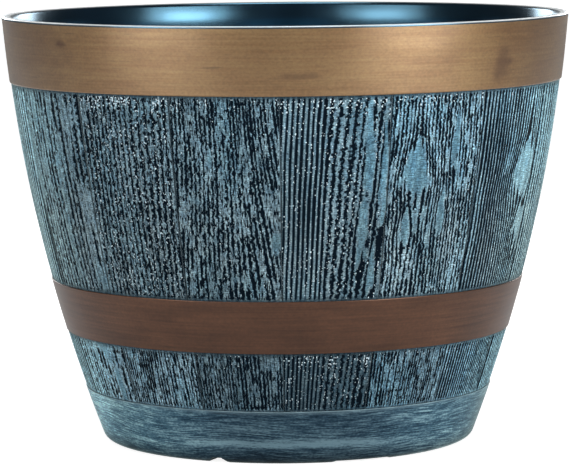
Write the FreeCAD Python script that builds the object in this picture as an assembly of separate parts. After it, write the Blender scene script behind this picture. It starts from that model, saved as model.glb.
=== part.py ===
import FreeCAD, Part
import math
import os

# Half barrel planter: a moulded barrel shell with stave relief, two hoops let into it,
# and plugs in the drain holes of its floor. Millimetres.
# The origin is on the ground, on the barrel's axis. +Z is up and -Y is the front.
# An azimuth is in degrees round the axis, 0 at the front and growing towards +X.

# Barrel wall: the stave faces follow one arc, which stands outside the straight line
# from the ground to the rim by the belly bulge
HEIGHT = 296.0
RIM_RADIUS = 196.0
GROUND_RADIUS = 127.9
BELLY_BULGE = 10.8
WALL = 6.0

# Lip above the upper hoop
LIP_HEIGHT = 1.5
LIP_OUTER_ROUND = 0.7
LIP_INNER_ROUND = 2.0

# Plain ring round the base, and the foot ring under it
BASE_RING_HEIGHT = 37.5
BASE_RING_PROUD = 0.5
BASE_CORNER_ROUND = 7.0
FOOT_HEIGHT = 4.0
FOOT_WIDTH = 24.0

# Floor
FLOOR_THICKNESS = 5.0
FLOOR_CORNER_ROUND = 14.0

# Notches right through the foot ring, narrower at the top, and wide shallow reliefs between them
NOTCH_COUNT = 3
NOTCH_AZIMUTH = -22.0
NOTCH_GROUND_WIDTH = 14.0
NOTCH_TOP_WIDTH = 6.6
NOTCH_DEPTH = 3.5
RELIEF_AZIMUTH = 23.3
RELIEF_ANGLE = 19.4
RELIEF_DEPTH = 1.2

# Staves, parted by seams that run from hoop to hoop and from the lower hoop to the base ring
STAVE_COUNT = 16
SEAM_AZIMUTH = -1.1
SEAM_WIDTH = 1.2
SEAM_DEPTH = 0.9

# Hoops: each lies in a seat cut into the stave faces and stands proud of them
UPPER_HOOP_WIDTH = 44.0
UPPER_HOOP_THICKNESS = 2.0
UPPER_HOOP_PROUD = 1.0
UPPER_HOOP_ROUND = 0.8
LOWER_HOOP_HEIGHT = 78.1
LOWER_HOOP_WIDTH = 35.9
LOWER_HOOP_THICKNESS = 1.7
LOWER_HOOP_PROUD = 0.5
LOWER_HOOP_ROUND = 0.4
HOOP_FIT = 0.1

# Drain holes: one in the middle of the floor and a ring of them round it
DRAIN_RADIUS = 8.0
DRAIN_RING_RADIUS = 72.0
DRAIN_RING_COUNT = 4
DRAIN_AZIMUTH = 45.0

# Drain plugs: a flange that rests on the floor, a hollow stem in the hole and a pull tab
PLUG_FIT = 0.3
PLUG_FLANGE_OVERLAP = 4.5
PLUG_FLANGE_THICKNESS = 2.5
PLUG_FLANGE_CHAMFER = 0.8
PLUG_STEM_REACH = 2.0
PLUG_STEM_WALL = 1.8
PLUG_STEM_CHAMFER = 0.8
PLUG_TAB_WIDTH = 13.0
PLUG_TAB_HEIGHT = 9.5
PLUG_TAB_THICKNESS = 3.0

# Heights that several pieces share
FLOOR_TOP = FOOT_HEIGHT + FLOOR_THICKNESS
LIP_BOTTOM = HEIGHT - LIP_HEIGHT
UPPER_HOOP_HEIGHT = LIP_BOTTOM - UPPER_HOOP_WIDTH
LOWER_HOOP_TOP = LOWER_HOOP_HEIGHT + LOWER_HOOP_WIDTH
UPPER_SEAT_DEPTH = UPPER_HOOP_THICKNESS - UPPER_HOOP_PROUD
LOWER_SEAT_DEPTH = LOWER_HOOP_THICKNESS - LOWER_HOOP_PROUD

# Centre and radius of the stave arc, from its chord and its bulge
CHORD_RISE = RIM_RADIUS - GROUND_RADIUS
CHORD = math.hypot(CHORD_RISE, HEIGHT)
ARC_RADIUS = (CHORD ** 2 / 4 + BELLY_BULGE ** 2) / (2 * BELLY_BULGE)
CENTRE_DEPTH = ARC_RADIUS - BELLY_BULGE
ARC_CENTRE_R = (RIM_RADIUS + GROUND_RADIUS) / 2 - CENTRE_DEPTH * HEIGHT / CHORD
ARC_CENTRE_Z = HEIGHT / 2 + CENTRE_DEPTH * CHORD_RISE / CHORD

AXIS = FreeCAD.Vector(0, 0, 1)
ORIGIN = FreeCAD.Vector(0, 0, 0)
FULL_TURN = 360.0
HALF_TURN = 180.0
ABOVE = 1
BELOW = -1
OUTSIDE = 1
INSIDE = -1


def wall_radius(z, offset):
    """Radius at height z of the surface that lies offset outside the stave faces."""
    return ARC_CENTRE_R + math.sqrt((ARC_RADIUS + offset) ** 2 - (z - ARC_CENTRE_Z) ** 2)


def profile_point(radius, z):
    """A point of a profile, which is drawn in the half plane at the back of the barrel."""
    return FreeCAD.Vector(0, radius, z)


def wall_point(z, offset):
    return profile_point(wall_radius(z, offset), z)


def wall_arc(start_z, end_z, offset):
    """The stretch of a wall surface's profile between two heights."""
    middle = wall_point((start_z + end_z) / 2, offset)
    return Part.Arc(wall_point(start_z, offset), middle, wall_point(end_z, offset)).toShape()


def line(start, end):
    return Part.LineSegment(start, end).toShape()


def ledge(z, start_offset, end_offset):
    """A level step from one wall surface to another."""
    return line(wall_point(z, start_offset), wall_point(z, end_offset))


def closed_face(edges):
    return Part.Face(Part.Wire(Part.sortEdges(edges)[0]))


def revolved(edges):
    return closed_face(edges).revolve(ORIGIN, AXIS, FULL_TURN)


def at_azimuth(shape, azimuth):
    """A copy of a shape drawn at the back, turned to an azimuth counted from the front."""
    turned = shape.copy()
    turned.rotate(ORIGIN, AXIS, HALF_TURN + azimuth)
    return turned


def corner_round(z, offset, radius, level_side, wall_side):
    """The arc that rounds the corner of a level line at height z and a wall surface.

    Its centre lies above or below the line, and outside or inside the surface.
    Returns its point on the line, its point on the surface, and its edge.
    """
    centre = wall_point(z + level_side * radius, offset + wall_side * radius)
    on_level = profile_point(centre.y, z)
    arc_centre = profile_point(ARC_CENTRE_R, ARC_CENTRE_Z)
    on_wall = arc_centre + (centre - arc_centre).normalize() * (ARC_RADIUS + offset)
    middle = centre + (on_level + on_wall - centre * 2).normalize() * radius
    return on_level, on_wall, Part.Arc(on_level, middle, on_wall).toShape()


def barrel_blank():
    """The shell as it is turned: wall, hoop seats, lip, floor and foot ring."""
    ground_out, ring_low, base_round = corner_round(0, BASE_RING_PROUD, BASE_CORNER_ROUND, ABOVE, INSIDE)
    lip_top_out, lip_high, lip_out_round = corner_round(
        HEIGHT, UPPER_HOOP_PROUD, LIP_OUTER_ROUND, BELOW, INSIDE
    )
    lip_top_in, wall_high, lip_in_round = corner_round(HEIGHT, -WALL, LIP_INNER_ROUND, BELOW, OUTSIDE)
    floor_out, wall_low, floor_round = corner_round(FLOOR_TOP, -WALL, FLOOR_CORNER_ROUND, ABOVE, INSIDE)
    foot_inner = wall_radius(0, BASE_RING_PROUD) - FOOT_WIDTH
    floor_middle = profile_point(0, FLOOR_TOP)
    under_middle = profile_point(0, FOOT_HEIGHT)
    under_out = profile_point(foot_inner, FOOT_HEIGHT)
    foot_in = profile_point(foot_inner, 0)
    return revolved([
        base_round,
        wall_arc(ring_low.z, BASE_RING_HEIGHT, BASE_RING_PROUD),
        ledge(BASE_RING_HEIGHT, BASE_RING_PROUD, 0),
        wall_arc(BASE_RING_HEIGHT, LOWER_HOOP_HEIGHT, 0),
        ledge(LOWER_HOOP_HEIGHT, 0, -LOWER_SEAT_DEPTH),
        wall_arc(LOWER_HOOP_HEIGHT, LOWER_HOOP_TOP, -LOWER_SEAT_DEPTH),
        ledge(LOWER_HOOP_TOP, -LOWER_SEAT_DEPTH, 0),
        wall_arc(LOWER_HOOP_TOP, UPPER_HOOP_HEIGHT, 0),
        ledge(UPPER_HOOP_HEIGHT, 0, -UPPER_SEAT_DEPTH),
        wall_arc(UPPER_HOOP_HEIGHT, LIP_BOTTOM, -UPPER_SEAT_DEPTH),
        ledge(LIP_BOTTOM, -UPPER_SEAT_DEPTH, UPPER_HOOP_PROUD),
        wall_arc(LIP_BOTTOM, lip_high.z, UPPER_HOOP_PROUD),
        lip_out_round,
        line(lip_top_out, lip_top_in),
        lip_in_round,
        wall_arc(wall_high.z, wall_low.z, -WALL),
        floor_round,
        line(floor_out, floor_middle),
        line(floor_middle, under_middle),
        line(under_middle, under_out),
        line(under_out, foot_in),
        line(foot_in, ground_out),
    ])


def seam_cutter(start_z, end_z):
    """The groove between two staves, over one stretch of the wall."""
    face = closed_face([
        wall_arc(start_z, end_z, -SEAM_DEPTH),
        ledge(end_z, -SEAM_DEPTH, SEAM_DEPTH),
        wall_arc(end_z, start_z, SEAM_DEPTH),
        ledge(start_z, SEAM_DEPTH, -SEAM_DEPTH),
    ])
    face.translate(FreeCAD.Vector(-SEAM_WIDTH / 2, 0, 0))
    return face.extrude(FreeCAD.Vector(SEAM_WIDTH, 0, 0))


def seam_cutters():
    stretches = [
        seam_cutter(BASE_RING_HEIGHT, LOWER_HOOP_HEIGHT),
        seam_cutter(LOWER_HOOP_TOP, UPPER_HOOP_HEIGHT),
    ]
    pitch = FULL_TURN / STAVE_COUNT
    cutters = []
    for index in range(STAVE_COUNT):
        for stretch in stretches:
            cutters.append(at_azimuth(stretch, SEAM_AZIMUTH + index * pitch))
    return cutters


def foot_cutters():
    """Drain notches and shallow reliefs of the foot ring."""
    outer = wall_radius(BASE_RING_HEIGHT, BASE_RING_PROUD)
    inner = wall_radius(0, BASE_RING_PROUD) - 2 * FOOT_WIDTH
    corners = [
        FreeCAD.Vector(-NOTCH_GROUND_WIDTH / 2, inner, 0),
        FreeCAD.Vector(-NOTCH_TOP_WIDTH / 2, inner, NOTCH_DEPTH),
        FreeCAD.Vector(NOTCH_TOP_WIDTH / 2, inner, NOTCH_DEPTH),
        FreeCAD.Vector(NOTCH_GROUND_WIDTH / 2, inner, 0),
    ]
    outline = Part.makePolygon(corners + corners[:1])
    notch = Part.Face(outline).extrude(FreeCAD.Vector(0, outer - inner, 0))
    relief_normal = FreeCAD.Vector(1, 0, 0)
    relief_along = FreeCAD.Vector(0, 1, 0)
    relief_section = Part.makePlane(
        outer - inner, RELIEF_DEPTH, profile_point(inner, 0), relief_normal, relief_along
    )
    relief = relief_section.revolve(ORIGIN, AXIS, RELIEF_ANGLE)
    pitch = FULL_TURN / NOTCH_COUNT
    cutters = []
    for index in range(NOTCH_COUNT):
        cutters.append(at_azimuth(notch, NOTCH_AZIMUTH + index * pitch))
        cutters.append(at_azimuth(relief, RELIEF_AZIMUTH - RELIEF_ANGLE / 2 + index * pitch))
    return cutters


def drain_places():
    """Name and centre of each drain hole."""
    places = {"centre": ORIGIN}
    pitch = FULL_TURN / DRAIN_RING_COUNT
    for index in range(DRAIN_RING_COUNT):
        azimuth = math.radians(DRAIN_AZIMUTH + index * pitch)
        across = DRAIN_RING_RADIUS * math.sin(azimuth)
        along = -DRAIN_RING_RADIUS * math.cos(azimuth)
        places[str(index + 1)] = FreeCAD.Vector(across, along, 0)
    return places


def drain_cutters():
    reach = FLOOR_TOP + FOOT_HEIGHT
    return [Part.makeCylinder(DRAIN_RADIUS, reach, place) for place in drain_places().values()]


def barrel_shell():
    cutters = seam_cutters() + foot_cutters() + drain_cutters()
    return barrel_blank().cut(cutters)


def upper_hoop():
    """The wide band under the lip. Its top edge is square, because it lies against the lip."""
    back = HOOP_FIT - UPPER_SEAT_DEPTH
    edge_in, face_low, edge_round = corner_round(
        UPPER_HOOP_HEIGHT, UPPER_HOOP_PROUD, UPPER_HOOP_ROUND, ABOVE, INSIDE
    )
    return revolved([
        edge_round,
        wall_arc(face_low.z, LIP_BOTTOM, UPPER_HOOP_PROUD),
        ledge(LIP_BOTTOM, UPPER_HOOP_PROUD, back),
        wall_arc(LIP_BOTTOM, UPPER_HOOP_HEIGHT, back),
        line(wall_point(UPPER_HOOP_HEIGHT, back), edge_in),
    ])


def lower_hoop():
    """The narrower band, with both its edges rounded."""
    back = HOOP_FIT - LOWER_SEAT_DEPTH
    low_in, face_low, low_round = corner_round(
        LOWER_HOOP_HEIGHT, LOWER_HOOP_PROUD, LOWER_HOOP_ROUND, ABOVE, INSIDE
    )
    high_in, face_high, high_round = corner_round(
        LOWER_HOOP_TOP, LOWER_HOOP_PROUD, LOWER_HOOP_ROUND, BELOW, INSIDE
    )
    return revolved([
        low_round,
        wall_arc(face_low.z, face_high.z, LOWER_HOOP_PROUD),
        high_round,
        line(high_in, wall_point(LOWER_HOOP_TOP, back)),
        wall_arc(LOWER_HOOP_TOP, LOWER_HOOP_HEIGHT, back),
        line(wall_point(LOWER_HOOP_HEIGHT, back), low_in),
    ])


def drain_plug():
    """A plug on the axis, its flange resting on the floor and its hollow stem reaching below it."""
    flange_top = FLOOR_TOP + PLUG_FLANGE_THICKNESS
    flange_radius = DRAIN_RADIUS + PLUG_FLANGE_OVERLAP
    stem_radius = DRAIN_RADIUS - PLUG_FIT
    stem_bottom = FOOT_HEIGHT - PLUG_STEM_REACH
    hollow_radius = stem_radius - PLUG_STEM_WALL
    corners = [
        profile_point(0, FLOOR_TOP),
        profile_point(hollow_radius, FLOOR_TOP),
        profile_point(hollow_radius, stem_bottom),
        profile_point(stem_radius - PLUG_STEM_CHAMFER, stem_bottom),
        profile_point(stem_radius, stem_bottom + PLUG_STEM_CHAMFER),
        profile_point(stem_radius, FLOOR_TOP),
        profile_point(flange_radius, FLOOR_TOP),
        profile_point(flange_radius, flange_top - PLUG_FLANGE_CHAMFER),
        profile_point(flange_radius - PLUG_FLANGE_CHAMFER, flange_top),
        profile_point(0, flange_top),
    ]
    outline = Part.Face(Part.makePolygon(corners + corners[:1]))
    turned = outline.revolve(ORIGIN, AXIS, FULL_TURN)
    return turned.fuse(pull_tab(flange_top)).removeSplitter()


def pull_tab(flange_top):
    """An upright tab with a half round top, thin enough to pinch."""
    half = PLUG_TAB_WIDTH / 2
    shoulder = flange_top + PLUG_TAB_HEIGHT - half
    root = flange_top - PLUG_FLANGE_THICKNESS / 2
    low_left = FreeCAD.Vector(-half, 0, root)
    high_left = FreeCAD.Vector(-half, 0, shoulder)
    crown = FreeCAD.Vector(0, 0, shoulder + half)
    high_right = FreeCAD.Vector(half, 0, shoulder)
    low_right = FreeCAD.Vector(half, 0, root)
    face = closed_face([
        line(low_left, high_left),
        Part.Arc(high_left, crown, high_right).toShape(),
        line(high_right, low_right),
        line(low_right, low_left),
    ])
    face.translate(FreeCAD.Vector(0, -PLUG_TAB_THICKNESS / 2, 0))
    return face.extrude(FreeCAD.Vector(0, PLUG_TAB_THICKNESS, 0))


def planter_nodes():
    nodes = {
        "barrel_shell": barrel_shell(),
        "upper_hoop": upper_hoop(),
        "lower_hoop": lower_hoop(),
    }
    plug = drain_plug()
    for name, place in drain_places().items():
        placed = plug.copy()
        placed.translate(place)
        nodes["drain_plug_" + name] = placed
    return nodes


os.makedirs("parts", exist_ok=True)
for node, solid in planter_nodes().items():
    solid.exportStep("parts/" + node + ".step")
    print(node, solid.isValid(), len(solid.Solids), round(solid.Volume))
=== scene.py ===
"""Looks of the half barrel planter: grained resin shell, copper hoops, rubber plugs and a plain white studio.

Metres, +Z up. The front that the photo shows faces -Y. Azimuth 0 is the front and grows towards +X.
"""

import math
from collections import namedtuple

import bpy
import numpy as np
from mathutils import Matrix, Vector
from mathutils.bvhtree import BVHTree
from mathutils.geometry import tessellate_polygon


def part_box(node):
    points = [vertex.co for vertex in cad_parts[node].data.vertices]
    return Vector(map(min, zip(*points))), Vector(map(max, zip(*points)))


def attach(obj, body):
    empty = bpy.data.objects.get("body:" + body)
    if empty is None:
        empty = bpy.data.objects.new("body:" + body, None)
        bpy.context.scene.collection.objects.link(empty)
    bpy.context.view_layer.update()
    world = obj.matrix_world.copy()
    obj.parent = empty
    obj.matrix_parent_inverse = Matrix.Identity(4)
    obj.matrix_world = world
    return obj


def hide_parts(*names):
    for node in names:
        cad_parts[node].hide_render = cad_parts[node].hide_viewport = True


MM = 0.001
FULL_TURN = 2 * math.pi

# Stave layout
STAVE_COUNT = 16
SEAM_AZIMUTH = math.radians(-1.1)
STAVE_WIDTH = 69.4 * MM
BASE_RING_TOP = 37.5 * MM

# Mesh density
FINE_PER_STAVE = 90
FINE_COLUMNS = STAVE_COUNT * FINE_PER_STAVE
COARSE_STEP = 2
COARSE_COLUMNS = FINE_COLUMNS // COARSE_STEP
GRAIN_ROW = 2.0 * MM
HOLE_POINTS = 48
SHELL_SHARP_ANGLE = math.radians(58)
HOOP_SHARP_ANGLE = math.radians(50)

# Slots of the shell's materials
STAVE_FACES = 0
BASE_FACES = 1
INSIDE_FACES = 2

# Strips of the shell's bake map, from low to high
MAP_LOWER_STAVES = (0.005, 0.18)
MAP_UPPER_STAVES = (0.19, 0.72)
MAP_INSIDE = (0.73, 0.84)
MAP_INSIDE_REACH = 0.7
MAP_RIM_JOIN = (0.845, 0.85)
MAP_UPPER_JOIN = (0.855, 0.86)
MAP_LOWER_JOIN = (0.865, 0.87)
MAP_SEAT = (0.875, 0.88)
MAP_FOOT_JOIN = (0.885, 0.895)
MAP_FOOT = (0.90, 0.99)

# Squares of the bake map for the two discs, as (across, up, size), and the column of the hole walls
MAP_UNDERSIDE = (0.72, 0.73, 0.108)
MAP_FLOOR = (0.85, 0.73, 0.108)
MAP_HOLE_ACROSS = 0.965
MAP_HOLE_UP = 0.73
MAP_HOLE_WIDTH = 0.025
MAP_HOLE_PITCH = 0.02

# Relief of the staves
GRAIN_DEPTH = 0.4 * MM
SEAM_DEPTH = 0.95 * MM
SEAM_HALF_WIDTH = 1.0 * MM
HEW_DEPTH = 0.25 * MM
STAVE_STEP = 0.3 * MM
MARGIN = 1.3 * MM
SKIN = 0.08 * MM
GRAIN_SEED = 1000
LEAN_HEIGHT = 185.0

# How many times sooner the grain closes at the bottom of a zone of staves than at its top
LOWER_CLOSING = 4.0
UPPER_CLOSING = 1.0

# Where the paint turns paler towards the left and right as painted side light, as the sine of the azimuth
SIDE_START = 0.75
SIDE_END = 0.985

# Slight swell of the wall inside the rim
SWELL_START = -5.0 * MM
SWELL_LENGTH = 30.0 * MM
SWELL_HEIGHT = 0.9 * MM

# Waviness of the hoops: waves in a turn, their height and their depth
HOOP_WAVES = 60.0
HOOP_WAVE_HEIGHT = 12.0 * MM
HOOP_WAVE_DEPTH = 0.12 * MM

# Pale edges, partly worn paint and partly painted highlight: at the base ring's upper edge, and ring by ring
# over the lip
EDGE_WEAR_AND_HIGHLIGHT = 0.95
EDGE_WEAR_AND_HIGHLIGHT_BELOW = 0.3
LIP_WEAR_AND_HIGHLIGHT = (0.0, 0.1, 0.5, 0.9, 1.0, 1.0, 1.0, 1.0, 0.9, 0.5, 0.2)

# Painted side light on the base ring, lighter towards the left and right, over a base level
SIDE_LIGHT_BASE = 0.8
SIDE_LIGHT_LEFT = 2.1
SIDE_LIGHT_FAR_LEFT = 3.0
SIDE_LIGHT_RIGHT = 1.5

# Foot notches and shallow reliefs
NOTCH_AZIMUTHS = [math.radians(-22.0 + 120.0 * i) for i in range(3)]
NOTCH_GROUND_HALF = 7.0 * MM
NOTCH_TOP_HALF = 3.3 * MM
NOTCH_DEPTH = 3.5 * MM
RELIEF_AZIMUTHS = [math.radians(23.3 + 120.0 * i) for i in range(3)]
RELIEF_HALF_ANGLE = math.radians(9.7)
RELIEF_DEPTH = 1.2 * MM

# Camera, worked out from the ellipses of the rim, hoops and base ring
IMAGE_WIDTH = 569
CAMERA_PLACE = (0.0, -2.4136, 0.4015)
CAMERA_PITCH = math.radians(6.14)
CAMERA_ROLL = math.radians(-0.5)
FOCAL_PIXELS = 3462.0
PRINCIPAL_OFFSET = 2.4
SENSOR_WIDTH = 36.0

# How one kind of wood grain looks: lengths in millimetres, shares from 0 to 1.
# Beyond side, measured from the stave's middle, the lines turn ragged and open out by the share opening.
# fan leans the lines more and more across the stave.
# rise is the height of one nested arch of a flame figure and heart its middle, and spots are smooth patches,
# narrower at the top, as (x, height, half width, half height), with patch as their share of the stave's tone.
# glints is how thickly the painted glints lie: bright flecks that stand in for highlights.
Grain = namedtuple(
    "Grain",
    "pitch line lean fan wander breaks dash ragged side opening pores bare sparkle rise heart patch spots",
    defaults=(0.0, 0.0, 2.0, 0.1, 20.0, 0.3, -60.0, 0.0, 0.3, 0.1, 0.3, 0.0, 0.0, 0.74, ()),
)
STRAIGHT = Grain(
    pitch=3.3, line=0.52, lean=0.05, wander=1.5, breaks=0.03, dash=30.0, ragged=0.8, side=-6.0, opening=0.36,
    pores=0.45, bare=0.03, sparkle=1.05, patch=1.12,
    spots=(
        (21.0, 216.0, 2.8, 30.0), (19.0, 165.0, 3.0, 26.0),
        (27.0, 135.0, 2.4, 16.0), (31.5, 205.0, 2.2, 40.0),
    ),
)
FLAME = Grain(
    pitch=2.8, line=0.58, fan=-0.001, wander=2.4, breaks=0.22, dash=10.0, ragged=0.75, pores=0.7, bare=0.05,
    sparkle=0.8, rise=34.0, heart=-14.0,
    spots=(
        (-14.5, 203.0, 8.0, 20.0), (-20.0, 162.0, 4.2, 11.0),
        (7.0, 176.0, 2.4, 16.0), (13.0, 222.0, 2.2, 20.0),
    ),
)
CLOSE = Grain(
    pitch=3.3, line=0.58, lean=0.02, wander=1.8, breaks=0.05, dash=40.0, ragged=0.25, pores=0.3, bare=0.05,
    sparkle=0.3, spots=((22.0, 197.0, 13.0, 21.0), (29.0, 158.0, 7.0, 14.0)),
)
FINE = Grain(
    pitch=5.6, line=0.34, wander=2.0, breaks=0.1, dash=40.0, ragged=0.3, pores=0.4, bare=0.12, sparkle=0.15,
)
QUIET = Grain(
    pitch=5.2, line=0.44, lean=-0.03, wander=4.0, breaks=0.32, dash=18.0, ragged=0.75, pores=0.9, bare=0.2,
    sparkle=0.4,
)
PEBBLED = Grain(
    pitch=4.1, line=0.4, wander=2.6, breaks=0.12, dash=9.0, ragged=0.85, pores=1.03, bare=0.03, sparkle=1.2,
)
DASHED = Grain(
    pitch=3.0, line=0.53, lean=-0.06, fan=-0.003, wander=4.5, breaks=0.32, dash=11.0, ragged=0.8, pores=1.0,
    bare=0.18, sparkle=0.75,
)
COMBED = Grain(
    pitch=2.6, line=0.56, wander=3.5, breaks=0.34, dash=9.0, ragged=0.75, pores=0.95, bare=0.06, sparkle=0.5,
)
STAVE_GRAIN = [
    STRAIGHT, FLAME, CLOSE, FINE,
    DASHED, STRAIGHT, PEBBLED, FLAME,
    QUIET, CLOSE, STRAIGHT, DASHED,
    FINE, QUIET, PEBBLED, DASHED,
]
LOWER_GRAIN = [COMBED if kind in (FLAME, DASHED) else kind for kind in STAVE_GRAIN]
LOWER_GRAIN[14] = COMBED
# Brightness of each stave from the seam at the front towards +X: partly a tone of its own, partly painted
# side light on the staves towards the left and right
STAVE_TONE_AND_LIGHT = [0.94, 1.52, 1.38, 1.12, 1.05, 0.98, 1.05, 1.25, 1.15, 1.2, 0.98, 1.0, 1.3, 1.12, 1.1, 1.11]
# Below the lower hoop each is multiplied again: darker on most staves as painted shade where the wall faces
# down, lighter on the left as painted side light
LOWER_TONE_LIGHT_AND_SHADE = [0.45, 0.78, 1.16, 1.1, 0.7, 0.7, 0.85, 0.8, 0.8, 0.75, 0.7, 0.8, 1.2, 1.7, 1.32, 0.75]

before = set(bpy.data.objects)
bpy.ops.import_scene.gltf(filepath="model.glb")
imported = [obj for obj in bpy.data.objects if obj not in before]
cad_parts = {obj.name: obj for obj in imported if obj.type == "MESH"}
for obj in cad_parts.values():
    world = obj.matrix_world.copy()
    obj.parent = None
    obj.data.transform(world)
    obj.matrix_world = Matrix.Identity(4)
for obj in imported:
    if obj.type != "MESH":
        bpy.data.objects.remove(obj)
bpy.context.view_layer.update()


def srgb(red, green, blue):
    """A colour read as 0 to 255, as the linear values that shaders use."""
    values = np.array([red, green, blue]) / 255.0
    return np.where(values <= 0.04045, values / 12.92, ((values + 0.055) / 1.055) ** 2.4)


# Colours
PAINT = srgb(119, 139, 147)
PAINT_SMOOTH = srgb(100, 131, 143)
GROOVE = srgb(0, 13, 25)
# Painted glint: near-white flecks that stand in for specular highlights on the grain
PAINTED_GLINT = srgb(225, 245, 255)
# Smooth ungrained strip at the ends of the zones of staves, its slate darkened as painted shade beside the
# hoops
SHADED_MARGIN_SLATE = srgb(36, 52, 62)
# Painted side light: the pale mint that the paint turns towards the left and right
SIDE_LIGHT_COLOUR = srgb(145, 175, 179)
THIN_PAINT = srgb(23, 60, 80)
# Pale lip colour: partly worn paint, partly a painted highlight
WORN_EDGE_AND_HIGHLIGHT = srgb(244, 248, 248)
COOL_TINT = np.array([-0.1, 0.02, 0.09])
SIDE_LIGHT_TINT = np.array([0.16, 0.08, -0.08])
# Darker, redder copper of the smudges and of the painted shade on the hoops
TARNISH_AND_SHADE_TINT = np.array([0.42, 0.3, 0.22])
SHEEN_TINT = (0.8, 1.0, 0.98, 1.0)


def step(low, high, value):
    """Smooth step from 0 at low to 1 at high, which may be the smaller one."""
    part = np.clip((value - low) / (high - low), 0.0, 1.0)
    return part * part * (3.0 - 2.0 * part)


def noise(x, y, seed):
    """Smooth value noise from 0 to 1 over a unit lattice, the same each run."""
    size = 256
    table = np.random.default_rng(seed).random((size, size))
    left = np.floor(x).astype(int)
    low = np.floor(y).astype(int)
    across = step(0.0, 1.0, x - left)
    up = step(0.0, 1.0, y - low)
    bottom = table[left % size, low % size] * (1 - across) + table[(left + 1) % size, low % size] * across
    above = (low + 1) % size
    top = table[left % size, above] * (1 - across) + table[(left + 1) % size, above] * across
    return bottom * (1 - up) + top * up


def swing(x, y, seed):
    """The same noise from -1 to 1."""
    return 2.0 * noise(x, y, seed) - 1.0


def grain_field(x, y, kind, seed):
    """Ring phase, groove share, smooth patches and raggedness of one stave; x and y in millimetres."""
    shift = kind.wander * swing(x / 28.0, y / 110.0, seed) + 0.4 * swing(x / 6.0, y / 26.0, seed + 1)
    bare = step(1.0 - kind.bare, 1.12 - kind.bare, noise(x / 10.0, y / 26.0, seed + 2))
    crowd = 0.0 * x
    for spot_x, spot_y, half_width, half_height in kind.spots:
        up = (y - spot_y) / half_height
        reach = half_width * np.clip(1.0 - 0.65 * up, 0.3, 1.65)
        away = np.hypot((x - spot_x) / reach, up)
        shift = shift - 0.85 * half_width * np.tanh((x - spot_x) / half_width) * np.exp(-0.4 * away**2)
        bare = np.maximum(bare, step(1.2, 0.7, away + 0.5 * swing(x / 1.8, y / 8.0, seed + 3)))
        crowd = np.maximum(crowd, 0.3 * np.exp(-5.0 * (away - 1.35) ** 2))
    opened = x - kind.opening * np.maximum(x - kind.side, 0.0)
    rings = (opened - (kind.lean + kind.fan * x) * (y - LEAN_HEIGHT) + shift) / kind.pitch
    ring = np.floor(rings + 0.5)
    width = kind.line * (0.65 + 0.7 * noise(ring + 0.5, 0.0 * y + 0.5, seed + 4))
    width = width * (0.7 + 0.6 * noise(x / 8.0, y / 35.0, seed + 5)) * (1.0 + crowd)
    if kind.rise:
        across = np.hypot(x - kind.heart, 4.0)
        arches = across * (0.6 + across / 60.0) / 9.0 + y / kind.rise
        width = width * (0.55 + 0.9 * np.abs(2.0 * (arches - np.floor(arches)) - 1.0))
    width = np.minimum(width, 0.72)
    closed = step(kind.breaks + 0.1, kind.breaks - 0.1, noise(ring * 3.7 + 0.5, y / kind.dash, seed + 6))
    width = width * (1.0 - 1.4 * closed)
    width = width * (1.0 - bare) - 0.5 * bare
    ragged = kind.ragged * (0.08 + 0.92 * step(kind.side - 5.0, kind.side + 5.0, x))
    return rings, width, bare, ragged


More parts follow.
